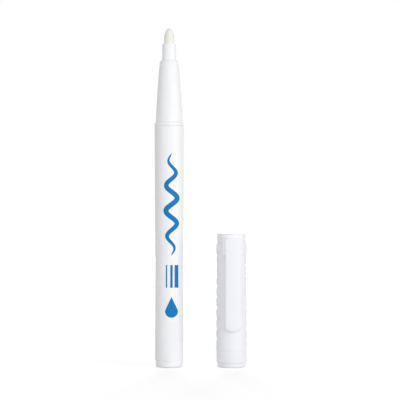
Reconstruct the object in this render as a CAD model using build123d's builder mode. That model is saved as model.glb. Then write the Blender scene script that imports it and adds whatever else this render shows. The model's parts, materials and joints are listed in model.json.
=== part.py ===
"""White paint marker with a press-to-flow valve, stood on its tail with its cap off beside it.

The pen's axis is +Z, the origin is the middle of the tail's flat foot, and sizes are in millimetres.
The cap stands on its mouth to the right of the pen (+X), with its clip towards the front (-Y).
"""
from build123d import *
import os
from math import cos, pi, radians, sin, sqrt

# Fits
press_gap = 0.02
nib_clearance = 0.06
guide_clearance = 0.08
seat_gap = 0.05
clip_seat_gap = 0.12

# Barrel
barrel_length = 88.0
barrel_straight_length = 40.6
barrel_bore = 8.6
barrel_tail_wall = 0.975
barrel_front_wall = 1.2

# Tail plug
foot_height = 2.9
foot_step = 0.225
foot_edge = 0.7
plug_depth = 6.0
plug_floor = 2.0

# Mixing ball and the play it has in the plug's cup
ball_diameter = 3.5
ball_play = 0.5

# Front section: flange, shoulder and drafted cone
flange_height = 0.9
shoulder_height = 0.75
shoulder_step = 0.43
cone_length = 22.85
cone_bulge = 0.16
cone_ledge = 0.75
cone_edge = 0.6
spigot_length = 8.0

# Nib and its holder
nib_diameter = 3.8
nib_length = 21.85
nib_exposed = 5.75
nib_taper_length = 4.75
nib_cheek_diameter = 3.2
nib_cheek_depth = 1.9
nib_brow_diameter = 2.6
nib_brow_depth = 1.0
nib_dome_diameter = 1.7
nib_dome_depth = 0.42
nose_length = 6.2
nose_wall = 0.64
nose_edge = 0.2
collar_height = 1.4
collar_step = 0.1
holder_overhang = 0.5
holder_flange_height = 2.0
holder_flange_step = 0.6
channel_count = 4
channel_width = 0.5
channel_depth = 0.22

# Valve behind the nib
press_travel = 2.0
chamber_depth = 3.0
housing_wall = 0.9
seat_thickness = 1.5
stem_diameter = 2.4
flow_gap = 0.35
seal_overlap = 0.5
gasket_thickness = 0.8
head_thickness = 1.2
guide_diameter = 1.6
guide_overrun = 0.5
spring_length = 10.0
spring_turns = 4
spring_wire = 0.4
spring_wire_sides = 4
spring_play = 0.3
retainer_thickness = 1.5
notch_count = 4
notch_width = 1.2
notch_depth = 0.5

# Cap: mouth ring, smooth band, body with notched sides and crown, from the mouth up
cap_spacing = 12.19
cap_turn = 4.0
cap_bore = 9.1
cap_wall = 1.2
mouth_relief = 0.25
mouth_depth = 12.0
mouth_ring_height = 2.1
mouth_ring_slope = 0.3
mouth_edge = 0.4
end_ring_step = 0.375
band_height = 3.6
band_step = 0.08
body_height = 40.5
body_shoulder = 0.55
grip_start = 4.5
grip_pitch = 3.96
grip_count = 9
grip_depth = 0.34
grip_width = 1.2
grip_offset = 1.5

# Crown plug and the sealing cup that hangs in it
crown_height = 3.85
crown_edge = 0.6
crown_spigot_depth = 4.0
crown_spigot_wall = 0.8
inner_cap_length = 26.5
inner_cap_wall = 0.9
inner_cap_top = 1.0

# Pocket clip
clip_width = 5.8
clip_length = 35.0
clip_thickness = 1.0
clip_gap = 0.6
clip_drop = 1.95
clip_root_length = 6.2
clip_plate_width = 7.5
clip_plate_rise = 0.4
clip_end_sag = 1.3
clip_face_bow = 0.35
clip_edge = 0.2
clip_pad_length = 3.0
clip_pad_gap = 0.15
clip_pad_height = 3.4
clip_tip_thickness = 0.6
tab_width = 3.0
tab_depth = 1.6
tab_inset = 0.35

# Heights along the pen, from the tail to the tip
barrel_rear = foot_height
barrel_straight_top = barrel_rear + barrel_straight_length
barrel_front = barrel_rear + barrel_length
flange_top = barrel_front + flange_height
cone_base = flange_top + shoulder_height
cone_front = cone_base + cone_length
nose_front = cone_front + nose_length
nib_tip = nose_front + nib_exposed
nib_rear = nib_tip - nib_length
plug_top = foot_height + plug_depth
spigot_rear = barrel_front - spigot_length

# Heights of the valve, stacked back from the nib
holder_rear = nib_rear - holder_overhang
holder_seat = holder_rear + holder_flange_height
seat_front = nib_rear - press_travel - chamber_depth
seat_rear = seat_front - seat_thickness
head_front = seat_rear - gasket_thickness
head_rear = head_front - head_thickness
retainer_front = head_rear - spring_length
retainer_rear = retainer_front - retainer_thickness
guide_rear = retainer_rear - guide_overrun

# Radii of the pen
bore_radius = barrel_bore / 2
tail_radius = bore_radius + barrel_tail_wall
front_radius = bore_radius + barrel_front_wall
foot_radius = tail_radius - foot_step
spigot_radius = bore_radius - press_gap
ball_radius = ball_diameter / 2
ball_cup_radius = ball_radius + ball_play
nib_radius = nib_diameter / 2
nib_bore_radius = nib_radius + nib_clearance
nose_radius = nib_bore_radius + nose_wall
collar_radius = nose_radius + collar_step
nose_bore_radius = collar_radius + press_gap
cone_base_radius = front_radius - shoulder_step
cone_front_radius = collar_radius + cone_ledge
cone_waist_radius = (cone_base_radius + cone_front_radius) / 2 + cone_bulge
holder_flange_radius = collar_radius + holder_flange_step
valve_bore_radius = holder_flange_radius + press_gap
chamber_radius = holder_flange_radius - housing_wall
stem_radius = stem_diameter / 2
seat_hole_radius = stem_radius + flow_gap
head_radius = seat_hole_radius + seal_overlap
guide_radius = guide_diameter / 2
wire_radius = spring_wire / 2
coil_radius = guide_radius + spring_play + wire_radius
retainer_radius = chamber_radius - press_gap

# Heights and radii of the cap
band_base = mouth_ring_height + mouth_ring_slope
band_top = band_base + band_height
body_top = band_top + body_height
crown_top = body_top + crown_height
cap_bore_radius = cap_bore / 2
mouth_radius = cap_bore_radius + mouth_relief
body_radius = cap_bore_radius + cap_wall
grip_heights = [band_top + grip_start + notch * grip_pitch for notch in range(grip_count)]
grip_reach = 2 * grip_depth
grip_rise = grip_reach * (grip_width / 2) / grip_depth
grip_radius = body_radius - grip_depth + grip_offset
band_radius = body_radius - band_step
end_ring_radius = body_radius - end_ring_step
crown_spigot_radius = cap_bore_radius - press_gap
crown_socket_radius = crown_spigot_radius - crown_spigot_wall
inner_cap_radius = crown_socket_radius - press_gap
inner_cap_bore_radius = inner_cap_radius - inner_cap_wall
inner_cap_lip = body_top - inner_cap_length
cap_x = front_radius + cap_spacing + body_radius

# The clip, as distances from the cap's axis towards the front and heights from the mouth
clip_inner = body_radius + clip_gap
clip_outer = clip_inner + clip_thickness
clip_top = crown_top - clip_drop
clip_tip = clip_top - clip_length
clip_root_bottom = clip_top - clip_root_length
clip_root_face = body_radius + clip_seat_gap
clip_crown_face = end_ring_radius + clip_seat_gap
clip_plate_face = body_radius + clip_plate_rise
clip_step = body_top + clip_seat_gap
tab_bottom = clip_step + tab_inset
tab_top = clip_top - tab_inset
tab_end = end_ring_radius - tab_depth
pad_bottom = clip_tip + clip_pad_height
pad_top = pad_bottom + clip_pad_length

# Planes of the cap, turned so that the clip faces the front, a little to the right
cap_front = (sin(radians(cap_turn)), -cos(radians(cap_turn)), 0)
cap_right = (cos(radians(cap_turn)), sin(radians(cap_turn)), 0)
cap_left = (-cap_right[0], -cap_right[1], 0)
cap_origin = (cap_x, 0, 0)
cap_axis = Axis(cap_origin, (0, 0, 1))
cap_side_plane = Plane(cap_origin, x_dir=cap_front, z_dir=cap_left)
cap_front_plane = Plane(cap_origin, x_dir=cap_right, z_dir=cap_front)
cap_floor_plane = Plane(cap_origin, x_dir=cap_front, z_dir=(0, 0, 1))

# Tail plug: a foot below the barrel and a cup pressed into it
with BuildPart() as tail_plug:
    with BuildSketch(Plane.XZ):
        with BuildLine():
            Polyline(
                (0, 0),
                (foot_radius - foot_edge, 0),
                (foot_radius, foot_edge),
                (foot_radius, foot_height),
                (spigot_radius, foot_height),
                (spigot_radius, plug_top),
                (ball_cup_radius, plug_top),
                (ball_cup_radius, plug_floor),
                (0, plug_floor),
                close=True,
            )
        make_face()
    revolve(axis=Axis.Z)

# Barrel: straight towards the tail, drafted towards the front
with BuildPart() as barrel:
    with BuildSketch(Plane.XZ):
        with BuildLine():
            Polyline(
                (bore_radius, barrel_rear),
                (tail_radius, barrel_rear),
                (tail_radius, barrel_straight_top),
                (front_radius, barrel_front),
                (bore_radius, barrel_front),
                close=True,
            )
        make_face()
    revolve(axis=Axis.Z)

# Front section: spigot in the barrel, flange, sloped shoulder and a cone with a slight swell
with BuildPart() as grip_section:
    with BuildSketch(Plane.XZ):
        with BuildLine():
            Polyline(
                (valve_bore_radius, spigot_rear),
                (spigot_radius, spigot_rear),
                (spigot_radius, barrel_front),
                (front_radius, barrel_front),
                (front_radius, flange_top),
                (cone_base_radius, cone_base),
                (cone_waist_radius, (cone_base + cone_front) / 2),
                (cone_front_radius, cone_front - cone_edge),
                (cone_front_radius - cone_edge, cone_front),
                (nose_bore_radius, cone_front),
                (nose_bore_radius, holder_seat),
                (valve_bore_radius, holder_seat),
                close=True,
            )
        make_face()
    revolve(axis=Axis.Z)

# Nib holder: flanged at the back, a collar where it leaves the cone, and air channels along its bore
with BuildPart() as nib_holder:
    with BuildSketch(Plane.XZ):
        with BuildLine():
            Polyline(
                (nib_bore_radius, holder_rear),
                (holder_flange_radius, holder_rear),
                (holder_flange_radius, holder_seat),
                (collar_radius, holder_seat),
                (collar_radius, cone_front + collar_height - collar_step),
                (nose_radius, cone_front + collar_height),
                (nose_radius, nose_front - nose_edge),
                (nose_radius - nose_edge, nose_front),
                (nib_bore_radius, nose_front),
                close=True,
            )
        make_face()
    revolve(axis=Axis.Z)
    with BuildSketch(Plane.XY.offset(holder_rear)):
        with PolarLocations(nib_bore_radius, channel_count):
            Rectangle(2 * channel_depth, channel_width)
    extrude(amount=nose_front - holder_rear, mode=Mode.SUBTRACT)

# Nib: a felt rod that tapers to a domed point
with BuildPart() as nib:
    with BuildSketch(Plane.XZ):
        with BuildLine():
            rod = Polyline(
                (0, nib_tip),
                (0, nib_rear),
                (nib_radius, nib_rear),
                (nib_radius, nib_tip - nib_taper_length),
                (nib_cheek_diameter / 2, nib_tip - nib_cheek_depth),
                (nib_brow_diameter / 2, nib_tip - nib_brow_depth),
                (nib_dome_diameter / 2, nib_tip - nib_dome_depth),
            )
            TangentArc(rod @ 0, rod @ 1, tangent=(1, 0))
        make_face()
    revolve(axis=Axis.Z)

# Valve housing: a chamber on each side of the valve seat, with the spring's retainer pressed in behind
with BuildPart() as valve_housing:
    with BuildSketch(Plane.XZ):
        with BuildLine():
            Polyline(
                (chamber_radius, retainer_rear),
                (holder_flange_radius, retainer_rear),
                (holder_flange_radius, holder_rear),
                (chamber_radius, holder_rear),
                (chamber_radius, seat_front),
                (seat_hole_radius, seat_front),
                (seat_hole_radius, seat_rear),
                (chamber_radius, seat_rear),
                close=True,
            )
        make_face()
    revolve(axis=Axis.Z)

# Valve stem: front rod against the nib, sealing head, and a guide rod through the spring
with BuildPart() as valve_stem:
    with BuildSketch(Plane.XZ):
        with BuildLine():
            Polyline(
                (0, guide_rear),
                (guide_radius, guide_rear),
                (guide_radius, head_rear),
                (head_radius, head_rear),
                (head_radius, head_front),
                (stem_radius, head_front),
                (stem_radius, nib_rear),
                (0, nib_rear),
                close=True,
            )
        make_face()
    revolve(axis=Axis.Z)

# Valve gasket: a soft ring on the stem, held against the seat by the spring
with BuildPart() as valve_gasket:
    with BuildSketch(Plane.XY.offset(head_front)):
        Circle(head_radius)
        Circle(stem_radius + press_gap, mode=Mode.SUBTRACT)
    extrude(amount=gasket_thickness)

# Valve spring: one unbroken wire, each half turn of its helix drawn as two tangent arcs
coil_bottom = retainer_front + seat_gap + wire_radius
coil_pitch = (spring_length - 2 * seat_gap - spring_wire) / spring_turns


def coil_point(turns):
    """Place on the spring's helix after a number of turns."""
    angle = 2 * pi * turns
    return Vector(coil_radius * cos(angle), coil_radius * sin(angle), coil_bottom + coil_pitch * turns)


def coil_direction(turns):
    """Direction of the spring's wire after a number of turns."""
    angle = 2 * pi * turns
    return Vector(-coil_radius * sin(angle), coil_radius * cos(angle), coil_pitch / (2 * pi)).normalized()


with BuildPart() as valve_spring:
    with BuildLine() as coil:
        for half_turn in range(2 * spring_turns):
            start, end = coil_point(half_turn / 2), coil_point((half_turn + 1) / 2)
            leaving, arriving = coil_direction(half_turn / 2), coil_direction((half_turn + 1) / 2)
            chord = end - start
            along = chord.dot(leaving + arriving)
            spread = 2 * (1 - leaving.dot(arriving))
            reach = (sqrt(along**2 + spread * chord.dot(chord)) - along) / spread
            first_corner = start + leaving * reach
            last_corner = end - arriving * reach
            middle = (first_corner + last_corner) * 0.5
            TangentArc(start, middle, tangent=leaving)
            TangentArc(middle, end, tangent=last_corner - first_corner)
    with BuildSketch(Plane(coil_point(0), z_dir=coil_direction(0))):
        RegularPolygon(wire_radius, spring_wire_sides)
    sweep(path=coil.line)

# Spring retainer: a disc with a guide hole and notches that let the paint by
with BuildPart() as spring_retainer:
    with BuildSketch(Plane.XY.offset(retainer_rear)):
        Circle(retainer_radius)
        Circle(guide_radius + guide_clearance, mode=Mode.SUBTRACT)
        with PolarLocations(retainer_radius, notch_count):
            Rectangle(2 * notch_depth, notch_width, mode=Mode.SUBTRACT)
    extrude(amount=retainer_thickness)

# Mixing ball: lies in the plug's cup until the marker is shaken
with BuildPart(Plane.XY.offset(plug_floor + press_gap + ball_radius)) as mixing_ball:
    Sphere(ball_radius)

# Cap shell: mouth ring, smooth band and body, with notches along both sides that fade out towards the front
with BuildPart() as cap_shell:
    with BuildSketch(cap_side_plane):
        with BuildLine():
            Polyline(
                (mouth_radius, 0),
                (end_ring_radius - mouth_edge, 0),
                (end_ring_radius, mouth_edge),
                (end_ring_radius, mouth_ring_height),
                (band_radius, band_base),
                (band_radius, band_top),
                (body_radius, band_top + band_step),
                (body_radius, body_top - body_shoulder),
                (end_ring_radius, body_top),
                (cap_bore_radius, body_top),
                (cap_bore_radius, mouth_depth + mouth_relief),
                (mouth_radius, mouth_depth),
                close=True,
            )
        make_face()
    revolve(axis=cap_axis)
    for side in (-1, 1):
        outwards = Vector(cap_right) * side
        pivot = Vector(cap_origin) - outwards * grip_offset
        with BuildSketch(Plane(pivot, x_dir=outwards, z_dir=Vector(cap_front) * side)):
            with Locations(*[(grip_radius, height) for height in grip_heights]):
                Polygon((0, 0), (grip_reach, -grip_rise), (grip_reach, grip_rise), align=None)
        revolve(axis=Axis(pivot, (0, 0, 1)), mode=Mode.SUBTRACT)

# Cap crown: a plug with a socket for the sealing cup and a slot for the clip's tab
with BuildPart() as cap_crown:
    with BuildSketch(cap_side_plane):
        with BuildLine():
            Polyline(
                (0, body_top),
                (crown_socket_radius, body_top),
                (crown_socket_radius, body_top - crown_spigot_depth),
                (crown_spigot_radius, body_top - crown_spigot_depth),
                (crown_spigot_radius, body_top),
                (end_ring_radius, body_top),
                (end_ring_radius, crown_top - crown_edge),
                (end_ring_radius - crown_edge, crown_top),
                (0, crown_top),
                close=True,
            )
        make_face()
    revolve(axis=cap_axis)
    with BuildSketch(cap_side_plane):
        with BuildLine():
            Polyline(
                (tab_end - clip_seat_gap, tab_bottom - clip_seat_gap),
                (body_radius, tab_bottom - clip_seat_gap),
                (body_radius, tab_top + clip_seat_gap),
                (tab_end - clip_seat_gap, tab_top + clip_seat_gap),
                close=True,
            )
        make_face()
    extrude(amount=tab_width / 2 + clip_seat_gap, both=True, mode=Mode.SUBTRACT)

# Sealing cup inside the cap, pressed into the crown
with BuildPart() as inner_cap:
    with BuildSketch(cap_side_plane):
        with BuildLine():
            Polyline(
                (0, body_top),
                (inner_cap_radius, body_top),
                (inner_cap_radius, inner_cap_lip),
                (inner_cap_bore_radius, inner_cap_lip),
                (inner_cap_bore_radius, body_top - inner_cap_top),
                (0, body_top - inner_cap_top),
                close=True,
            )
        make_face()
    revolve(axis=cap_axis)

# Pocket clip: arm with a gripping pad and a face bowed across its width, on a plate that hugs the cap
with BuildPart() as cap_clip:
    with BuildSketch(cap_side_plane):
        with BuildLine():
            front_face = Polyline(
                (clip_crown_face, clip_step),
                (clip_crown_face, clip_top),
                (clip_outer, clip_top),
                (clip_outer, clip_tip),
                (clip_outer - clip_tip_thickness, clip_tip),
                (clip_inner, pad_bottom),
            )
            pad = ThreePointArc(
                front_face @ 1,
                (body_radius + clip_pad_gap, (pad_bottom + pad_top) / 2),
                (clip_inner, pad_top),
            )
            Polyline(
                pad @ 1,
                (clip_inner, clip_root_bottom - clip_gap),
                (clip_root_face, clip_root_bottom),
                (clip_root_face, clip_step),
                front_face @ 0,
            )
        make_face()
    extrude(amount=clip_width / 2, both=True)
    with BuildSketch(cap_front_plane):
        with BuildLine():
            sides = Polyline(
                (-clip_width / 2, clip_tip + clip_end_sag),
                (-clip_width / 2, clip_top),
                (clip_width / 2, clip_top),
                (clip_width / 2, clip_tip + clip_end_sag),
            )
            ThreePointArc(sides @ 1, (0, clip_tip), sides @ 0)
        make_face()
    extrude(amount=clip_outer, mode=Mode.INTERSECT)
    with BuildSketch(cap_floor_plane.offset(clip_tip)):
        with BuildLine():
            flanks = Polyline(
                (clip_outer - clip_face_bow, -clip_width / 2),
                (0, -clip_width / 2),
                (0, clip_width / 2),
                (clip_outer - clip_face_bow, clip_width / 2),
            )
            ThreePointArc(flanks @ 1, (clip_outer, 0), flanks @ 0)
        make_face()
    extrude(amount=clip_length, mode=Mode.INTERSECT)
    bowed_face = cap_clip.faces().filter_by(GeomType.CYLINDER).sort_by(SortBy.AREA)[-1]
    chamfer(bowed_face.edges(), min(clip_edge, clip_tip_thickness - clip_face_bow))
    for plate_base, plate_top, hugged_radius in (
        (clip_root_bottom, clip_step, body_radius),
        (clip_step, clip_top, end_ring_radius),
    ):
        with BuildSketch(cap_floor_plane.offset(plate_base)):
            Rectangle(clip_plate_face, clip_plate_width, align=(Align.MIN, Align.CENTER))
            Circle(hugged_radius + clip_seat_gap, mode=Mode.SUBTRACT)
        extrude(amount=plate_top - plate_base)
    with BuildSketch(cap_side_plane):
        with BuildLine():
            Polyline(
                (tab_end, tab_bottom),
                (clip_root_face, tab_bottom),
                (clip_root_face, tab_top),
                (tab_end, tab_top),
                close=True,
            )
        make_face()
    extrude(amount=tab_width / 2, both=True)

pieces = {
    "tail_plug": tail_plug,
    "barrel": barrel,
    "grip_section": grip_section,
    "nib_holder": nib_holder,
    "nib": nib,
    "valve_housing": valve_housing,
    "valve_stem": valve_stem,
    "valve_gasket": valve_gasket,
    "valve_spring": valve_spring,
    "spring_retainer": spring_retainer,
    "mixing_ball": mixing_ball,
    "cap_shell": cap_shell,
    "cap_crown": cap_crown,
    "inner_cap": inner_cap,
    "cap_clip": cap_clip,
}

os.makedirs("parts", exist_ok=True)
for name, piece in pieces.items():
    piece.part.label = name
    export_step(piece.part, f"parts/{name}.step")
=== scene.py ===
import json
import math

import bpy
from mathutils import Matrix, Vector


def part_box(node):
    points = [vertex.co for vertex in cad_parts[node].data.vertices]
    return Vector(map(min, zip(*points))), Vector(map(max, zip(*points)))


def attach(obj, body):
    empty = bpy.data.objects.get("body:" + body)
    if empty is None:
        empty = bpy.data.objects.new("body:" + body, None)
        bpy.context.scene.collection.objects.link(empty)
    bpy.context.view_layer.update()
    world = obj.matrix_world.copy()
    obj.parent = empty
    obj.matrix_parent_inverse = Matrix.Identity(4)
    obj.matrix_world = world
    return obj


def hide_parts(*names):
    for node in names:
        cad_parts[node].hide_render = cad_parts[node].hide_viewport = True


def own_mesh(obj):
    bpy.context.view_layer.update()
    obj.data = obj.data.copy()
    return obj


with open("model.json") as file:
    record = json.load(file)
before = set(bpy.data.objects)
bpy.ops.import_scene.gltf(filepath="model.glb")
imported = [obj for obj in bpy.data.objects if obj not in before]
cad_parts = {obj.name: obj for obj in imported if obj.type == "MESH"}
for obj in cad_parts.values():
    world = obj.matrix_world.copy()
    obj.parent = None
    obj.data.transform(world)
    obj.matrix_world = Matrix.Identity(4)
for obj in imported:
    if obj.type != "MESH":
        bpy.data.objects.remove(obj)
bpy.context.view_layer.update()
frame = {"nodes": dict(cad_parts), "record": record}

# Lengths are in millimetres unless a heading says otherwise, and MM turns them into metres
MM = 0.001
SIDES = 128
EASE_STEPS = 4
ROUND_PROFILE = 0.5
SMOOTH_ANGLE = math.radians(35)
MERGE_DISTANCE = 0.0001
SAME_PLACE = 0.004
PARALLEL = 0.99

# Numbers of the material nodes: where most of a noise lies, and a colour Mix node's sockets
NOISE_RANGE = (0.3, 0.7)
WHOLE_RANGE = (0.0, 1.0)
MIX_COLOURS = (6, 7)
MIX_RESULT = 2


def heights(node):
    """Lowest and highest height of a node."""
    low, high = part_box(node)
    return low.z / MM, high.z / MM


def reach(node):
    """How far a node reaches to the right of the pen's axis."""
    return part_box(node)[1].x / MM


# Sizes that the frame gives
mounts = {mount["name"]: mount for mount in frame["record"]["mounts"]}
barrel_rear, barrel_front = heights("barrel")
barrel_tail_radius = mounts["barrel_holder"]["dims"]["r_mm"]
barrel_straight_top = barrel_rear + mounts["barrel_holder"]["dims"]["length_mm"]
barrel_front_radius = reach("barrel")
foot_radius = reach("tail_plug")
plug_top = heights("tail_plug")[1]
spigot_rear, cone_front = heights("grip_section")
holder_rear, nose_front = heights("nib_holder")
holder_flange_radius = reach("nib_holder")
nib_rear, nib_tip = heights("nib")
nib_radius = reach("nib")
spring_bottom, spring_top = heights("valve_spring")
cap_x = mounts["cap_mouth"]["pos_m"][0] / MM
cap_mouth_radius = mounts["cap_mouth"]["dims"]["r_mm"]
cap_mouth_depth = mounts["cap_mouth"]["dims"]["length_mm"]
body_top = heights("cap_shell")[1]
cap_radius = reach("cap_shell") - cap_x
crown_bottom, crown_top = heights("cap_crown")
crown_radius = reach("cap_crown") - cap_x
clip_tip, clip_top = heights("cap_clip")

# Where the pen's and the cap's axes stand, and how far the clip is turned to the right of the front
PEN_AXIS = (0.0, 0.0)
CAP_AXIS = (cap_x, 0.0)
CAP_TURN = math.radians(4.0)

# Barrel and tail plug
BORE_RADIUS = 4.3
SPIGOT_RADIUS = 4.28
BARREL_EDGE = 0.17
FOOT_HEIGHT = 2.5
FOOT_EDGE = 0.6
FOOT_TOP_EDGE = 0.08
CUP_RADIUS = 2.25
CUP_FLOOR = 2.0
GATE_RADIUS = 0.9
GATE_DEPTH = 0.18

# Front section
FLANGE_TOP_RISE = 0.9
FLANGE_HEIGHT = 1.25
SHOULDER_HEIGHT = 0.45
SHOULDER_STEP = 0.43
FLANGE_EDGE = 0.21
SHOULDER_EDGE = 0.16
CONE_FRONT_RADIUS = 3.45
CONE_BULGE = 0.16
CONE_ROWS = 10
CONE_EDGE = 0.62
VALVE_BORE_RADIUS = 3.32
NOSE_BORE_RADIUS = 2.72
HOLDER_FLANGE_HEIGHT = 2.0
flange_top = barrel_front + FLANGE_TOP_RISE
flange_bottom = flange_top - FLANGE_HEIGHT

# Nib holder and nib
NIB_BORE_RADIUS = 1.96
NOSE_RADIUS = 2.6
NOSE_EDGE = 0.22
COLLAR_RADIUS = 2.7
COLLAR_HEIGHT = 1.4
COLLAR_EDGE = 0.09
CHANNEL_WIDTH = 0.5
CHANNEL_DEPTH = 0.22
NIB_TAPER_LENGTH = 4.75
NIB_FULLNESS = 2.45
NIB_ROWS = 20
NIB_REAR_EDGE = 0.2
TIP_PAINT_START = 2.6
TIP_PAINT_FULL = 0.4

# Valve spring
SPRING_WIRE = 0.4
SPRING_WIRE_SIDES = 16
SPRING_TURNS = 4
SPRING_COIL_RADIUS = 1.3
SPRING_STEPS = 48

# Cap shell
CAP_BORE_RADIUS = 4.55
MOUTH_RELIEF = 0.25
MOUTH_RING_HEIGHT = 1.65
MOUTH_RING_SLOPE = 0.3
MOUTH_EDGE = 0.55
MOUTH_RING_EASE = 0.1
BAND_EASE = 0.12
BAND_RADIUS = 5.67
BAND_TOP = 6.0
BAND_GROOVE = 0.07
BAND_GROOVE_HEIGHT = 0.16
BODY_SHOULDER = 0.55
SHOULDER_ROUND = 0.4
GRIP_FIRST = 10.5
GRIP_PITCH = 3.96
GRIP_COUNT = 9
GRIP_DEPTH = 0.34
GRIP_OFFSET = 1.5
GRIP_NOTCH_SHARE = 0.8
GRIP_NOTCH_WIDTH = 0.5
GRIP_ROWS = (-1.7, -1.2, -0.9, -0.65, -0.45, -0.28, -0.14, 0.0, 0.14, 0.28, 0.45, 0.65, 0.9, 1.2, 1.7)

# Crown and the slot for the clip's tab
CROWN_EDGE = 0.7
CROWN_FOOT_EDGE = 0.1
CROWN_SPIGOT_RADIUS = 4.53
CROWN_SOCKET_RADIUS = 3.73
TAB_SLOT_WIDTH = 3.24
TAB_SLOT_INNER = 3.655
TAB_SLOT_OVERCUT = 1.0
TAB_SLOT_BOTTOM = 46.85
TAB_SLOT_TOP = 48.17

# Clip, with its faces, backs and insides as distances from the cap's axis towards the front
CLIP_WIDTH = 5.8
CLIP_FACE = 7.35
CLIP_BACK = 6.35
CLIP_ROOT_BACK = 6.0
CLIP_TIP_BACK = 6.75
CLIP_BOW = 0.35
CLIP_END_SAG = 1.3
CLIP_END_LENGTH = 4.0
CLIP_LIP_LENGTH = 1.2
CLIP_LIP_DROP = 0.25
CLIP_COLUMNS = 16
CLIP_ROWS = 140
CLIP_EDGE = 0.13
CLIP_EDGE_STEPS = 3
PAD_MIDDLE = 18.3
PAD_HALF_LENGTH = 1.5
PAD_CREST = 5.9
PLATE_WIDTH = 7.5
PLATE_FACE = 6.15
PLATE_BOTTOM = 42.2
PLATE_STEP = 46.62
PLATE_STEP_EASE = 0.02
PLATE_ON_BODY = 5.87
PLATE_ON_CROWN = 5.495
PLATE_EDGE = 0.1
ROOT_SLOPE = 0.6
TAB_WIDTH = 3.0
TAB_INNER = 3.775
TAB_BOTTOM = 46.97
TAB_TOP = 48.05

# Print: a sample stroke, three line widths and a drop, a little to the right of the front
PRINT_CENTRE = 0.95
PRINT_START = -9.0
PRINT_LIFT = 0.008
PRINT_THICKNESS = 0.015
PRINT_COLUMNS = 8
STROKE_BOTTOM = 42.0
STROKE_TOP = 80.2
STROKE_WAVES = 4
STROKE_WAVE_ROWS = 40
STROKE_SWING = 2.1
STROKE_SWING_EASE = 0.4
STROKE_HALF_WIDTH = 0.95
STROKE_WIDTH_EASE = 0.5
STROKE_END_HALF_WIDTH = 0.06
BAR_BOTTOM = 30.0
BAR_TOP = 38.5
BAR_STEP = 1.85
BAR_HALF_WIDTHS = (0.25, 0.45, 0.7)
BAR_ROWS = 24
DROP_BOTTOM = 18.8
DROP_HEIGHT = 7.8
DROP_HALF_WIDTH = 2.4
DROP_SHOULDER = 1.4
DROP_HOLLOW = 0.25
DROP_ROWS = 48

# Camera
CAMERA_X = 11.60
CAMERA_HEIGHT = 62.78
CAMERA_DISTANCE = 620.0
FRAME_WIDTH = 150.6
SENSOR = 36.0

# Light, with distances in metres, and each box as its degrees to the right of the front and its watts
AMBIENT = 0.36
BOX_DISTANCE = 1.2
BOX_SIZE = 0.5
FRONT_BOXES = ((-52, 2.4), (-24, 2.2), (10, 2.8), (43, 4.1), (72, 4.1))
FRONT_ELEVATION = 6
BACK_BOX = (180, 6.0)
BACK_ELEVATION = 20

# Floor, in metres, and how strongly it glows up to the shadow's reach and from the white's reach on
FLOOR_SIZE = 8.0
FLOOR_DROP = 0.02 * MM
FLOOR_GREY = 0.6
NEAR_GLOW = 0.61
FAR_GLOW = 0.85
SHADOW_RADIUS = 0.2
WHITE_RADIUS = 0.5


def start_clean():
    """Object mode with nothing selected, so that the next operator acts on the new piece alone."""
    if bpy.context.object and bpy.context.object.mode != "OBJECT":
        bpy.ops.object.mode_set(mode="OBJECT")
    bpy.ops.object.select_all(action="DESELECT")


def take_up(piece):
    """Makes a piece the one that operators act on."""
    start_clean()
    piece.select_set(True)
    bpy.context.view_layer.objects.active = piece


def apply_modifier(piece, kind, **settings):
    """Adds a modifier with these settings and applies it at once."""
    take_up(piece)
    modifier = piece.modifiers.new(kind.lower(), kind)
    for name, value in settings.items():
        setattr(modifier, name, value)
    bpy.ops.object.modifier_apply(modifier=modifier.name)


def open_whole(piece):
    """Puts a piece in edit mode with all of it selected."""
    take_up(piece)
    bpy.ops.object.mode_set(mode="EDIT")
    bpy.ops.mesh.select_all(action="SELECT")


def choose_edges(piece, wanted):
    """Selects the edges that a test on their two end points picks, and leaves the piece in edit mode."""
    take_up(piece)
    bpy.ops.object.mode_set(mode="EDIT")
    bpy.ops.mesh.select_mode(type="EDGE")
    bpy.ops.mesh.select_all(action="DESELECT")
    bpy.ops.object.mode_set(mode="OBJECT")
    points = piece.data.vertices
    for edge in piece.data.edges:
        edge.select = wanted(*(points[end].co for end in edge.vertices))
    bpy.ops.object.mode_set(mode="EDIT")


def ease_edges(piece, ease, on_edge):
    """Rounds the edges whose end points both pass a test."""
    choose_edges(piece, lambda first, last: on_edge(first) and on_edge(last))
    bpy.ops.mesh.bevel(offset=ease * MM, segments=EASE_STEPS, profile=ROUND_PROFILE, affect="EDGES")
    bpy.ops.object.mode_set(mode="OBJECT")


def ease_ring(piece, axis, radius, height, ease):
    """Rounds the ring edge at a radius and a height."""

    def on_ring(point):
        across = math.hypot(point.x / MM - axis[0], point.y / MM - axis[1])
        return abs(across - radius) < SAME_PLACE and abs(point.z / MM - height) < SAME_PLACE

    ease_edges(piece, ease, on_ring)


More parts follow.
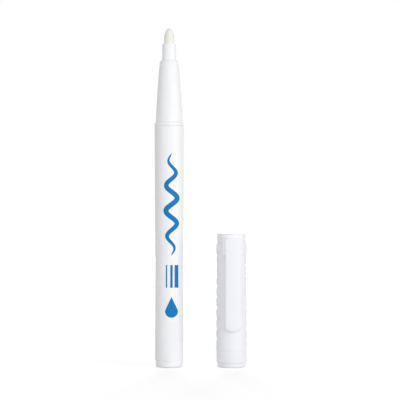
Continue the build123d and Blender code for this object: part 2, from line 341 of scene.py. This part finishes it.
def turned(name, rings, axis=PEN_AXIS, hollow=True):
    """A turned piece: a ring drawn out from one (radius, height, ease) to the next, each corner eased."""
    start_clean()
    radius, height, _ = rings[0]
    bpy.ops.mesh.primitive_circle_add(
        vertices=SIDES,
        radius=radius * MM,
        fill_type="NOTHING" if hollow else "NGON",
        location=(axis[0] * MM, axis[1] * MM, height * MM),
    )
    piece = bpy.context.object
    piece.name = piece.data.name = name
    bpy.ops.object.transform_apply(location=True, rotation=True, scale=True)
    open_whole(piece)
    path = rings[1:] + rings[:1] if hollow else rings[1:]
    for next_radius, next_height, _ in path:
        rise = (next_height - height) * MM
        bpy.ops.mesh.extrude_region_move(TRANSFORM_OT_translate={"value": (0, 0, rise)})
        grow = next_radius / radius
        middle = (axis[0] * MM, axis[1] * MM, next_height * MM)
        bpy.ops.transform.resize(value=(grow, grow, 1), center_override=middle)
        radius, height = next_radius, next_height
    bpy.ops.mesh.select_all(action="SELECT")
    bpy.ops.mesh.remove_doubles(threshold=MERGE_DISTANCE * MM)
    bpy.ops.mesh.normals_make_consistent(inside=False)
    bpy.ops.object.mode_set(mode="OBJECT")
    for ring_radius, ring_height, ease in rings:
        if ease:
            ease_ring(piece, axis, ring_radius, ring_height, ease)
    return piece


def cut_box(piece, centre, size, turn=0.0):
    """Cuts a box, turned about the upright axis, out of a piece."""
    start_clean()
    bpy.ops.mesh.primitive_cube_add(size=1, location=Vector(centre) * MM, rotation=(0, 0, turn))
    cutter = bpy.context.object
    cutter.scale = Vector(size) * MM
    bpy.ops.object.transform_apply(location=True, rotation=True, scale=True)
    apply_modifier(piece, "BOOLEAN", operation="DIFFERENCE", solver="EXACT", object=cutter)
    bpy.data.objects.remove(cutter)


def finish_piece(piece, material, body, slot, *nodes):
    """Smooths a piece's shading, gives it its material, and sets it in the frame."""
    take_up(piece)
    bpy.ops.object.shade_smooth_by_angle(angle=SMOOTH_ANGLE)
    apply_modifier(piece, "WEIGHTED_NORMAL", keep_sharp=True)
    piece.data.materials.clear()
    piece.data.materials.append(material)
    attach(piece, body)
    if nodes:
        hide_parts(*nodes)


def graded(nodes, links, value, to_range, from_range=WHOLE_RANGE):
    """A value carried over from one range of numbers to another."""
    ramp = nodes.new("ShaderNodeMapRange")
    ends = (*from_range, *to_range)
    for name, number in zip(("From Min", "From Max", "To Min", "To Max"), ends):
        ramp.inputs[name].default_value = number
    links.new(value, ramp.inputs["Value"])
    return ramp.outputs["Result"]


class Finish:
    """A node material on Object coordinates, built up from noise patterns."""

    def __init__(self, name):
        self.material = bpy.data.materials.new(name)
        self.material.use_nodes = True
        self.nodes = self.material.node_tree.nodes
        self.links = self.material.node_tree.links
        self.shader = self.nodes["Principled BSDF"]
        self.place = self.nodes.new("ShaderNodeTexCoord").outputs["Object"]

    def set(self, **sockets):
        """Sets the shader's sockets, with an underscore for each space in a name."""
        for name, value in sockets.items():
            self.shader.inputs[name.replace("_", " ")].default_value = value

    def stretched(self, scale):
        """The place on the piece, scaled along each axis."""
        mapping = self.nodes.new("ShaderNodeMapping")
        mapping.inputs["Scale"].default_value = scale
        self.links.new(self.place, mapping.inputs["Vector"])
        return mapping.outputs["Vector"]

    def noise(self, size, detail=3.0, place=None):
        """Noise whose features are about this many millimetres across."""
        pattern = self.nodes.new("ShaderNodeTexNoise")
        pattern.inputs["Scale"].default_value = 1 / (size * MM)
        pattern.inputs["Detail"].default_value = detail
        self.links.new(place or self.place, pattern.inputs["Vector"])
        return pattern.outputs["Fac"]

    def between(self, value, low, high, from_range=NOISE_RANGE):
        """A value that runs from low to high as another one runs over its range."""
        return graded(self.nodes, self.links, value, (low, high), from_range)

    def height(self, low, high):
        """0 below a height and 1 above another one."""
        split = self.nodes.new("ShaderNodeSeparateXYZ")
        self.links.new(self.place, split.inputs["Vector"])
        return self.between(split.outputs["Z"], 0.0, 1.0, (low * MM, high * MM))

    def blend(self, share, first, second):
        """A mix of two colours, each of them numbers or the output of another node."""
        mix = self.nodes.new("ShaderNodeMix")
        mix.data_type = "RGBA"
        self.links.new(share, mix.inputs["Factor"])
        for number, colour in zip(MIX_COLOURS, (first, second)):
            if isinstance(colour, tuple):
                mix.inputs[number].default_value = (*colour, 1)
            else:
                self.links.new(colour, mix.inputs[number])
        return mix.outputs[MIX_RESULT]

    def colour(self, value):
        self.links.new(value, self.shader.inputs["Base Color"])

    def roughness(self, value):
        self.links.new(value, self.shader.inputs["Roughness"])

    def bump(self, value, depth, strength):
        """Relief of a depth in millimetres."""
        bump = self.nodes.new("ShaderNodeBump")
        bump.inputs["Strength"].default_value = strength
        bump.inputs["Distance"].default_value = depth * MM
        self.links.new(value, bump.inputs["Height"])
        self.links.new(bump.outputs["Normal"], self.shader.inputs["Normal"])


def satin_barrel_white():
    """Satin white plastic, a little cool, with the faint cloudiness and skin of a moulded tube."""
    finish = Finish("satin_barrel_white")
    clouds = finish.noise(size=6.0)
    finish.colour(finish.blend(clouds, (0.862, 0.867, 0.888), (0.876, 0.881, 0.900)))
    finish.roughness(finish.between(finish.noise(size=2.5), low=0.32, high=0.42))
    finish.set(Specular_IOR_Level=0.3)
    finish.bump(finish.noise(size=0.35, detail=5.0), depth=0.004, strength=0.5)
    return finish.material


def cap_white():
    """White cap plastic, duller on the body and polished on the mouth band."""
    finish = Finish("cap_white")
    clouds = finish.noise(size=5.0)
    finish.colour(finish.blend(clouds, (0.845, 0.853, 0.892), (0.861, 0.869, 0.906)))
    body = finish.height(BAND_TOP - BAND_GROOVE_HEIGHT, BAND_TOP + BAND_GROOVE_HEIGHT)
    finish.roughness(finish.between(body, low=0.16, high=0.40, from_range=WHOLE_RANGE))
    finish.set(Specular_IOR_Level=0.35)
    finish.bump(finish.noise(size=0.4, detail=5.0), depth=0.004, strength=0.4)
    return finish.material


def pressed_felt():
    """Pressed cream fibre, running along the nib, whitened at the tip by dried paint."""
    finish = Finish("pressed_felt")
    fibres = finish.noise(size=0.12, detail=6.0, place=finish.stretched((1, 1, 0.12)))
    cream = finish.blend(fibres, (0.825, 0.80, 0.74), (0.905, 0.90, 0.85))
    paint = finish.height(nib_tip - TIP_PAINT_START, nib_tip - TIP_PAINT_FULL)
    finish.colour(finish.blend(paint, cream, (0.89, 0.89, 0.88)))
    finish.set(Roughness=0.85, Specular_IOR_Level=0.15)
    finish.bump(fibres, depth=0.012, strength=0.3)
    return finish.material


def natural_plastic():
    """Unpigmented plastic, milky and a little uneven."""
    finish = Finish("natural_plastic")
    finish.colour(finish.blend(finish.noise(size=3.0), (0.74, 0.75, 0.73), (0.82, 0.83, 0.81)))
    finish.roughness(finish.between(finish.noise(size=1.0), low=0.35, high=0.5))
    finish.bump(finish.noise(size=0.3, detail=4.0), depth=0.004, strength=0.5)
    return finish.material


def seal_rubber():
    """Dull black rubber with a fine grain."""
    finish = Finish("seal_rubber")
    finish.colour(finish.blend(finish.noise(size=0.4), (0.012, 0.012, 0.013), (0.025, 0.025, 0.027)))
    finish.set(Roughness=0.75)
    finish.bump(finish.noise(size=0.1, detail=4.0), depth=0.01, strength=0.5)
    return finish.material


def spring_steel():
    """Drawn steel wire, its sheen broken up by a fine grain."""
    finish = Finish("spring_steel")
    finish.colour(finish.blend(finish.noise(size=0.3), (0.55, 0.55, 0.56), (0.66, 0.66, 0.67)))
    finish.set(Metallic=1.0)
    finish.roughness(finish.between(finish.noise(size=0.08, detail=5.0), low=0.22, high=0.38))
    return finish.material


def ball_steel():
    """Ground steel, bright, with a fine lapped haze."""
    finish = Finish("ball_steel")
    finish.colour(finish.blend(finish.noise(size=0.8), (0.66, 0.66, 0.67), (0.74, 0.74, 0.75)))
    finish.set(Metallic=1.0)
    finish.roughness(finish.between(finish.noise(size=0.15, detail=6.0), low=0.08, high=0.18))
    return finish.material


def print_blue():
    """Bright blue screen ink, laid on a little unevenly."""
    finish = Finish("print_blue")
    patches = finish.noise(size=0.5, detail=5.0)
    finish.colour(finish.blend(patches, (0.002, 0.165, 0.46), (0.006, 0.205, 0.54)))
    finish.roughness(finish.between(finish.noise(size=0.3), low=0.4, high=0.55))
    finish.set(Specular_IOR_Level=0.12)
    return finish.material


def make_barrel(material):
    """The tube, straight in its lower half and then widening a little up to the front section."""
    rings = [
        (BORE_RADIUS, FOOT_HEIGHT, 0),
        (barrel_tail_radius, FOOT_HEIGHT, BARREL_EDGE),
        (barrel_tail_radius, barrel_straight_top, 0),
        (barrel_front_radius, flange_bottom, BARREL_EDGE),
        (BORE_RADIUS, flange_bottom, 0),
    ]
    barrel = turned("barrel_tube", rings)
    finish_piece(barrel, material, "pen", "barrel_white", "barrel")
    return barrel


def make_tail_plug(material):
    """The foot below the barrel, with a gate mark under it, and the cup that the ball rests in."""
    rings = [
        (GATE_RADIUS, GATE_DEPTH, 0),
        (GATE_RADIUS, 0, 0),
        (foot_radius, 0, FOOT_EDGE),
        (foot_radius, FOOT_HEIGHT, FOOT_TOP_EDGE),
        (SPIGOT_RADIUS, FOOT_HEIGHT, 0),
        (SPIGOT_RADIUS, plug_top, 0),
        (CUP_RADIUS, plug_top, 0),
        (CUP_RADIUS, CUP_FLOOR, 0),
    ]
    plug = turned("tail_foot", rings, hollow=False)
    finish_piece(plug, material, "pen", "barrel_white", "tail_plug")


def make_front_section(material):
    """The cone in front, slightly bulged, on a flange and shoulder, with a spigot in the barrel."""
    cone_base = flange_top + SHOULDER_HEIGHT
    cone_base_radius = barrel_front_radius - SHOULDER_STEP
    holder_seat = holder_rear + HOLDER_FLANGE_HEIGHT
    rings = [
        (VALVE_BORE_RADIUS, spigot_rear, 0),
        (SPIGOT_RADIUS, spigot_rear, 0),
        (SPIGOT_RADIUS, flange_bottom, 0),
        (barrel_front_radius, flange_bottom, FLANGE_EDGE),
        (barrel_front_radius, flange_top, SHOULDER_EDGE),
    ]
    for row in range(CONE_ROWS + 1):
        along = row / CONE_ROWS
        radius = cone_base_radius + (CONE_FRONT_RADIUS - cone_base_radius) * along
        swell = 4 * CONE_BULGE * along * (1 - along)
        ease = {0: SHOULDER_EDGE, CONE_ROWS: CONE_EDGE}.get(row, 0)
        rings.append((radius + swell, cone_base + (cone_front - cone_base) * along, ease))
    rings += [
        (NOSE_BORE_RADIUS, cone_front, 0),
        (NOSE_BORE_RADIUS, holder_seat, 0),
        (VALVE_BORE_RADIUS, holder_seat, 0),
    ]
    section = turned("front_section", rings)
    finish_piece(section, material, "pen", "barrel_white", "grip_section")


def make_nib_holder(material):
    """The sleeve round the nib, with a collar at the cone and four air channels in its bore."""
    collar_top = cone_front + COLLAR_HEIGHT
    rings = [
        (NIB_BORE_RADIUS, holder_rear, 0),
        (holder_flange_radius, holder_rear, 0),
        (holder_flange_radius, holder_rear + HOLDER_FLANGE_HEIGHT, 0),
        (COLLAR_RADIUS, holder_rear + HOLDER_FLANGE_HEIGHT, 0),
        (COLLAR_RADIUS, collar_top, COLLAR_EDGE),
        (NOSE_RADIUS, collar_top, 0),
        (NOSE_RADIUS, nose_front, NOSE_EDGE),
        (NIB_BORE_RADIUS, nose_front, 0),
    ]
    sleeve = turned("nib_sleeve", rings)
    channel = (2 * (NIB_BORE_RADIUS + CHANNEL_DEPTH), CHANNEL_WIDTH, 2 * (nose_front - holder_rear))
    for turn in (0.0, math.pi / 2):
        cut_box(sleeve, (0, 0, nose_front), channel, turn)
    finish_piece(sleeve, material, "pen", "barrel_white", "nib_holder")


def make_nib(material):
    """A felt rod that swells from a round point."""
    rings = [(nib_radius, nib_rear, NIB_REAR_EDGE)]
    for row in range(NIB_ROWS + 1):
        depth = NIB_TAPER_LENGTH * math.cos(math.pi / 2 * row / NIB_ROWS) ** 2
        share = 1 - (1 - depth / NIB_TAPER_LENGTH) ** NIB_FULLNESS
        rings.append((nib_radius * math.sqrt(share), nib_tip - depth, 0))
    nib = turned("felt_nib", rings, hollow=False)
    finish_piece(nib, material, "plunger", "felt", "nib")


def make_spring(material):
    """Round wire wound by a screw about the pen's axis, at its frame length; the real one shortens as the
    nib is pressed.
    """
    start_clean()
    start = spring_bottom + SPRING_WIRE / 2
    rise = (spring_top - spring_bottom - SPRING_WIRE) / SPRING_TURNS
    bpy.ops.mesh.primitive_circle_add(
        vertices=SPRING_WIRE_SIDES,
        radius=SPRING_WIRE / 2 * MM,
        fill_type="NOTHING",
        location=(SPRING_COIL_RADIUS * MM, 0, start * MM),
        rotation=(math.pi / 2, 0, 0),
    )
    spring = bpy.context.object
    spring.name = spring.data.name = "spring_coil"
    bpy.ops.object.transform_apply(location=True, rotation=True, scale=True)
    apply_modifier(
        spring, "SCREW", axis="Z", angle=2 * math.pi, screw_offset=rise * MM,
        iterations=SPRING_TURNS, steps=SPRING_STEPS, render_steps=SPRING_STEPS,
    )
    open_whole(spring)
    bpy.ops.mesh.remove_doubles(threshold=MERGE_DISTANCE * MM)
    bpy.ops.mesh.fill_holes(sides=0)
    bpy.ops.mesh.normals_make_consistent(inside=False)
    finish_piece(spring, material, "pen", "spring_steel", "valve_spring")
    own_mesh(spring)


def notch_depth(angle, height):
    """How far a notch draws the cap's side in, at an angle from the clip's side and a height."""
    nearest = round((height - GRIP_FIRST) / GRIP_PITCH)
    from_notch = abs(height - GRIP_FIRST - GRIP_PITCH * min(max(nearest, 0), GRIP_COUNT - 1))
    if from_notch >= GRIP_PITCH / 2:
        return 0.0
    sideways = abs(math.sin(angle))
    notch_radius = cap_radius - GRIP_DEPTH + GRIP_OFFSET
    floor = math.sqrt(notch_radius**2 - (GRIP_OFFSET**2) * (1 - sideways**2)) - GRIP_OFFSET * sideways
    crescent = max(0.0, cap_radius - floor)
    groove = math.exp(-((from_notch / GRIP_NOTCH_WIDTH) ** 2))
    lobe = (1 - from_notch / (GRIP_PITCH / 2)) ** 2
    return crescent * (GRIP_NOTCH_SHARE * groove + (1 - GRIP_NOTCH_SHARE) * lobe)


def make_cap_shell(material):
    """The cap's tube: mouth ring, polished band, and a body whose sides have a row of finger notches."""
    band_base = MOUTH_RING_HEIGHT + MOUTH_RING_SLOPE
    rings = [
        (cap_mouth_radius, 0, 0),
        (crown_radius, 0, MOUTH_EDGE),
        (crown_radius, MOUTH_RING_HEIGHT, MOUTH_RING_EASE),
        (BAND_RADIUS, band_base, BAND_EASE),
        (BAND_RADIUS, BAND_TOP - BAND_GROOVE_HEIGHT, 0),
        (BAND_RADIUS - BAND_GROOVE, BAND_TOP, 0),
        (cap_radius, BAND_TOP + BAND_GROOVE_HEIGHT, 0),
    ]
    for notch in range(GRIP_COUNT):
        middle = GRIP_FIRST + notch * GRIP_PITCH
        rings += [(cap_radius, middle + row, 0) for row in GRIP_ROWS]
    rings += [
        (cap_radius, body_top - BODY_SHOULDER, SHOULDER_ROUND),
        (crown_radius, body_top, 0),
        (CAP_BORE_RADIUS, body_top, 0),
        (CAP_BORE_RADIUS, cap_mouth_depth + MOUTH_RELIEF, 0),
        (cap_mouth_radius, cap_mouth_depth, 0),
    ]
    shell = turned("cap_tube", rings, CAP_AXIS)
    for point in shell.data.vertices:
        across = Vector((point.co.x / MM - cap_x, point.co.y / MM))
        if abs(across.length - cap_radius) < SAME_PLACE:
            angle = math.atan2(across.x, -across.y) - CAP_TURN
            drawn_in = across * (1 - notch_depth(angle, point.co.z / MM) / across.length)
            point.co.x = (cap_x + drawn_in.x) * MM
            point.co.y = drawn_in.y * MM
    finish_piece(shell, material, "cap", "cap_white", "cap_shell")


def make_crown(material):
    """The plug that closes the cap, with a gate mark on top and a slot for the clip's tab."""
    rings = [
        (CROWN_SOCKET_RADIUS, body_top, 0),
        (CROWN_SOCKET_RADIUS, crown_bottom, 0),
        (CROWN_SPIGOT_RADIUS, crown_bottom, 0),
        (CROWN_SPIGOT_RADIUS, body_top, 0),
        (crown_radius, body_top, CROWN_FOOT_EDGE),
        (crown_radius, crown_top, CROWN_EDGE),
        (GATE_RADIUS, crown_top, 0),
        (GATE_RADIUS, crown_top - GATE_DEPTH, 0),
    ]
    crown = turned("crown_plug", rings, CAP_AXIS, hollow=False)
    slot_depth = crown_radius - TAB_SLOT_INNER + TAB_SLOT_OVERCUT
    forward = TAB_SLOT_INNER + slot_depth / 2
    centre = (
        cap_x + forward * math.sin(CAP_TURN),
        -forward * math.cos(CAP_TURN),
        (TAB_SLOT_BOTTOM + TAB_SLOT_TOP) / 2,
    )
    cut_box(crown, centre, (TAB_SLOT_WIDTH, slot_depth, TAB_SLOT_TOP - TAB_SLOT_BOTTOM), CAP_TURN)
    finish_piece(crown, material, "cap", "cap_white", "cap_crown")


def block(name, across, forward, upward):
    """A block between two places each across the clip, out from the cap's axis and up."""
    start_clean()
    spans = (across, (-forward[1], -forward[0]), upward)
    centre = [(low + high) / 2 * MM for low, high in spans]
    bpy.ops.mesh.primitive_cube_add(size=1, location=(cap_x * MM + centre[0], centre[1], centre[2]))
    piece = bpy.context.object
    piece.name = piece.data.name = name
    piece.scale = [(high - low) * MM for low, high in spans]
    bpy.ops.object.transform_apply(location=True, rotation=True, scale=True)
    return piece


def divide(piece, direction, cuts):
    """Cuts every edge that runs along a direction into equal lengths."""

    def runs_along(first, last):
        return abs((last - first).normalized().dot(Vector(direction))) > PARALLEL

    choose_edges(piece, runs_along)
    bpy.ops.mesh.subdivide(number_cuts=cuts)
    bpy.ops.object.mode_set(mode="OBJECT")


def cut_level(piece, height):
    """Cuts a ring of edges round a piece at a height."""
    open_whole(piece)
    bpy.ops.mesh.bisect(plane_co=(0, 0, height * MM), plane_no=(0, 0, 1))
    bpy.ops.object.mode_set(mode="OBJECT")


def sag(across, half_width, depth):
    """How far an arc of this depth over a width has dropped at a place across it."""
    radius = (half_width**2 + depth**2) / (2 * depth)
    return radius - math.sqrt(max(0.0, radius**2 - across**2))


def clip_back(height):
    """Where the arm's back is at a height: thin at the tip, then the pad, a plain stretch and the root."""
    pad_bottom = PAD_MIDDLE - PAD_HALF_LENGTH
    if height < pad_bottom:
        share = (height - clip_tip) / (pad_bottom - clip_tip)
        return CLIP_TIP_BACK + (CLIP_BACK - CLIP_TIP_BACK) * share
    from_pad = (height - PAD_MIDDLE) / PAD_HALF_LENGTH
    if from_pad < 1:
        return CLIP_BACK - (CLIP_BACK - PAD_CREST) * (1 - from_pad**2)
    into_root = (height - PLATE_BOTTOM + ROOT_SLOPE) / ROOT_SLOPE
    return CLIP_BACK + (CLIP_ROOT_BACK - CLIP_BACK) * min(max(into_root, 0.0), 1.0)


def make_clip_arm():
    """The arm: a bar with a bowed face, a round end that curls in a little, and a pad on its back."""
    half_width = CLIP_WIDTH / 2
    arm = block("pocket_clip", (-half_width, half_width), (CLIP_BACK, CLIP_FACE), (clip_tip, clip_top))
    divide(arm, (1, 0, 0), CLIP_COLUMNS - 1)
    divide(arm, (0, 0, 1), CLIP_ROWS - 1)
    for point in arm.data.vertices:
        across = point.co.x / MM - cap_x
        height = point.co.z / MM
        to_end = max(0.0, 1 - (height - clip_tip) / CLIP_END_LENGTH)
        end_rise = sag(across, half_width, CLIP_END_SAG)
        place = height + end_rise * to_end
        if point.co.y / MM < -(CLIP_BACK + CLIP_FACE) / 2:
            from_end = place - clip_tip - end_rise
            curl = max(0.0, 1 - from_end / CLIP_LIP_LENGTH) ** 2
            point.co.y = -(CLIP_FACE - sag(across, half_width, CLIP_BOW) - CLIP_LIP_DROP * curl) * MM
        else:
            point.co.y = -clip_back(place) * MM
        point.co.z = place * MM
    apply_modifier(
        arm, "BEVEL", width=CLIP_EDGE * MM, segments=CLIP_EDGE_STEPS, limit_method="ANGLE",
        angle_limit=SMOOTH_ANGLE,
    )
    return arm


def make_clip_plate():
    """The plate at the arm's root, flat in front, that hugs the cap's body and the narrower crown."""
    half_width = PLATE_WIDTH / 2
    plate = block(
        "clip_plate", (-half_width, half_width), (PLATE_ON_CROWN, PLATE_FACE), (PLATE_BOTTOM, clip_top),
    )
    divide(plate, (1, 0, 0), CLIP_COLUMNS - 1)
    for side in (-1, 1):
        cut_level(plate, PLATE_STEP + side * PLATE_STEP_EASE)
    for point in plate.data.vertices:
        if point.co.y / MM > -(PLATE_ON_CROWN + PLATE_FACE) / 2:
            hugged = PLATE_ON_BODY if point.co.z / MM < PLATE_STEP else PLATE_ON_CROWN
            point.co.y = -math.sqrt(hugged**2 - (point.co.x / MM - cap_x) ** 2) * MM

    def on_front_side(point):
        at_face = abs(point.y / MM + PLATE_FACE) < SAME_PLACE
        return at_face and abs(abs(point.x / MM - cap_x) - half_width) < SAME_PLACE

    ease_edges(plate, PLATE_EDGE, on_front_side)
    return plate


def make_clip(material):
    """The clip: arm, root plate and the tab that holds it in the crown, moulded in one."""
    clip = make_clip_arm()
    tab = block(
        "clip_tab", (-TAB_WIDTH / 2, TAB_WIDTH / 2), (TAB_INNER, CLIP_ROOT_BACK), (TAB_BOTTOM, TAB_TOP),
    )
    for part in (make_clip_plate(), tab):
        apply_modifier(clip, "BOOLEAN", operation="UNION", solver="EXACT", object=part)
        bpy.data.objects.remove(part)
    open_whole(clip)
    bpy.ops.transform.rotate(value=-CAP_TURN, orient_axis="Z", center_override=(cap_x * MM, 0, 0))
    bpy.ops.object.mode_set(mode="OBJECT")
    finish_piece(clip, material, "clip", "cap_white", "cap_clip")


def ribbon(name, centre_line, half_width, rows, barrel, material):
    """Ink on the barrel: a grid spread along a centre line, wrapped on the tube and thickened."""
    start_clean()
    bpy.ops.mesh.primitive_grid_add(x_subdivisions=PRINT_COLUMNS, y_subdivisions=rows, size=1)
    mark = bpy.context.object
    mark.name = mark.data.name = name
    step = 1 / rows
    for point in mark.data.vertices:
        # The grid runs from -0.5 to 0.5 both ways
        along = point.co.y + 0.5
        here = Vector(centre_line(along))
        ahead = Vector(centre_line(min(along + step, 1.0))) - Vector(centre_line(max(along - step, 0.0)))
        sideways = Vector((ahead.y, -ahead.x)).normalized()
        spread = here + sideways * (2 * point.co.x * half_width(along))
        point.co = Vector((PRINT_CENTRE + spread.x, PRINT_START, spread.y)) * MM
    open_whole(mark)
    bpy.ops.mesh.remove_doubles(threshold=MERGE_DISTANCE * MM)
    bpy.ops.object.mode_set(mode="OBJECT")
    apply_modifier(
        mark, "SHRINKWRAP", target=barrel, wrap_method="PROJECT", wrap_mode="ABOVE_SURFACE",
        use_project_y=True, use_positive_direction=True, use_negative_direction=False,
        offset=PRINT_LIFT * MM,
    )
    apply_modifier(mark, "SOLIDIFY", thickness=PRINT_THICKNESS * MM, offset=1.0)
    open_whole(mark)
    bpy.ops.mesh.normals_make_consistent(inside=False)
    finish_piece(mark, material, "pen", "print_blue")


def make_print(barrel, material):
    """A sample stroke, three line widths and a drop, printed along the barrel."""

    def drop_width(along):
        rise = along * DROP_HEIGHT
        if rise < DROP_HALF_WIDTH:
            return math.sqrt(max(0.0, DROP_HALF_WIDTH**2 - (DROP_HALF_WIDTH - rise) ** 2))
        shrink = (rise - DROP_HALF_WIDTH) / (DROP_HEIGHT - DROP_HALF_WIDTH)
        return DROP_HALF_WIDTH * (1 - shrink**DROP_SHOULDER) * (1 - DROP_HOLLOW * shrink)

    def stroke_line(along):
        wave = math.sin(2 * math.pi * STROKE_WAVES * along)
        swing = STROKE_SWING * wave * math.sin(math.pi * along) ** STROKE_SWING_EASE
        return swing, STROKE_BOTTOM + along * (STROKE_TOP - STROKE_BOTTOM)

    def stroke_width(along):
        width = STROKE_HALF_WIDTH * math.sin(math.pi * along) ** STROKE_WIDTH_EASE
        return max(STROKE_END_HALF_WIDTH, width)

    ribbon(
        "print_drop",
        lambda along: (0, DROP_BOTTOM + along * DROP_HEIGHT),
        drop_width, DROP_ROWS, barrel, material,
    )
    ribbon("print_stroke", stroke_line, stroke_width, STROKE_WAVES * STROKE_WAVE_ROWS, barrel, material)
    middle_bar = len(BAR_HALF_WIDTHS) // 2
    for number, half_width in enumerate(BAR_HALF_WIDTHS):
        offset = (number - middle_bar) * BAR_STEP
        ribbon(
            f"print_bar_{number + 1}",
            lambda along, offset=offset: (offset, BAR_BOTTOM + along * (BAR_TOP - BAR_BOTTOM)),
            lambda along, half_width=half_width: half_width,
            BAR_ROWS, barrel, material,
        )


def dress_inner_pieces(natural, rubber, ball):
    """Materials for the pieces inside, which keep their solids."""
    for node, material in (
        ("valve_housing", natural), ("valve_stem", natural), ("spring_retainer", natural),
        ("inner_cap", natural), ("valve_gasket", rubber), ("mixing_ball", ball),
    ):
        frame["nodes"][node].data.materials.clear()
        frame["nodes"][node].data.materials.append(material)


def seen_directly(nodes, links):
    """1 for rays that show a surface as background: from the camera, a reflection or a transmission."""
    rays = nodes.new("ShaderNodeLightPath")
    first = nodes.new("ShaderNodeMath")
    both = nodes.new("ShaderNodeMath")
    first.operation = both.operation = "MAXIMUM"
    links.new(rays.outputs["Is Camera Ray"], first.inputs[0])
    links.new(rays.outputs["Is Glossy Ray"], first.inputs[1])
    links.new(first.outputs[0], both.inputs[0])
    links.new(rays.outputs["Is Transmission Ray"], both.inputs[1])
    return both.outputs[0]


def make_floor():
    """A floor that just reaches white near the object, so that the shadow stays, and glows more beyond."""
    start_clean()
    bpy.ops.mesh.primitive_plane_add(size=FLOOR_SIZE, location=(0, 0, -FLOOR_DROP))
    floor = bpy.context.object
    floor.name = "floor"
    material = bpy.data.materials.new("white_floor")
    material.use_nodes = True
    nodes, links = material.node_tree.nodes, material.node_tree.links
    shader = nodes["Principled BSDF"]
    shader.inputs["Base Color"].default_value = (FLOOR_GREY, FLOOR_GREY, FLOOR_GREY, 1)
    shader.inputs["Roughness"].default_value = 1.0
    shader.inputs["Specular IOR Level"].default_value = 0.0
    shader.inputs["Emission Color"].default_value = (1, 1, 1, 1)
    distance = nodes.new("ShaderNodeVectorMath")
    distance.operation = "LENGTH"
    links.new(nodes.new("ShaderNodeTexCoord").outputs["Object"], distance.inputs[0])
    glow = graded(
        nodes, links, distance.outputs["Value"], (NEAR_GLOW, FAR_GLOW), (SHADOW_RADIUS, WHITE_RADIUS)
    )
    shown = nodes.new("ShaderNodeMath")
    shown.operation = "MULTIPLY"
    links.new(glow, shown.inputs[0])
    links.new(seen_directly(nodes, links), shown.inputs[1])
    links.new(shown.outputs[0], shader.inputs["Emission Strength"])
    floor.data.materials.append(material)


def make_world():
    """White where it is seen, and an even soft light elsewhere."""
    world = bpy.data.worlds.new("studio")
    bpy.context.scene.world = world
    world.use_nodes = True
    nodes, links = world.node_tree.nodes, world.node_tree.links
    strength = graded(nodes, links, seen_directly(nodes, links), (AMBIENT, 1.0))
    links.new(strength, nodes["Background"].inputs["Strength"])
    nodes["Background"].inputs["Color"].default_value = (1, 1, 1, 1)


def add_softbox(azimuth, elevation, power):
    """A square lamp that faces the object, so many degrees right of the front and above the floor."""
    start_clean()
    around, up = math.radians(azimuth), math.radians(elevation)
    towards = Vector((math.sin(around) * math.cos(up), -math.cos(around) * math.cos(up), math.sin(up)))
    target = Vector((CAMERA_X, 0, CAMERA_HEIGHT)) * MM
    bpy.ops.object.light_add(type="AREA", location=target + towards * BOX_DISTANCE)
    lamp = bpy.context.object
    lamp.name = "softbox"
    lamp.rotation_euler = towards.to_track_quat("Z", "Y").to_euler()
    lamp.data.energy = power
    lamp.data.shape = "SQUARE"
    lamp.data.size = BOX_SIZE


def make_camera():
    """A level camera in front, as far away and as narrow as the photograph's view."""
    start_clean()
    place = Vector((CAMERA_X, -CAMERA_DISTANCE, CAMERA_HEIGHT)) * MM
    bpy.ops.object.camera_add(location=place, rotation=(math.pi / 2, 0, 0))
    camera = bpy.context.object
    camera.data.sensor_width = SENSOR
    camera.data.lens = SENSOR * CAMERA_DISTANCE / FRAME_WIDTH
    bpy.context.scene.camera = camera


barrel_plastic = satin_barrel_white()
cap_plastic = cap_white()
barrel = make_barrel(barrel_plastic)
make_tail_plug(barrel_plastic)
make_front_section(barrel_plastic)
make_nib_holder(barrel_plastic)
make_nib(pressed_felt())
make_spring(spring_steel())
make_cap_shell(cap_plastic)
make_crown(cap_plastic)
make_clip(cap_plastic)
make_print(barrel, print_blue())
dress_inner_pieces(natural_plastic(), seal_rubber(), ball_steel())

make_floor()
make_world()
for azimuth, power in FRONT_BOXES:
    add_softbox(azimuth, FRONT_ELEVATION, power)
add_softbox(BACK_BOX[0], BACK_ELEVATION, BACK_BOX[1])
make_camera()
bpy.context.scene.view_settings.view_transform = "Standard"
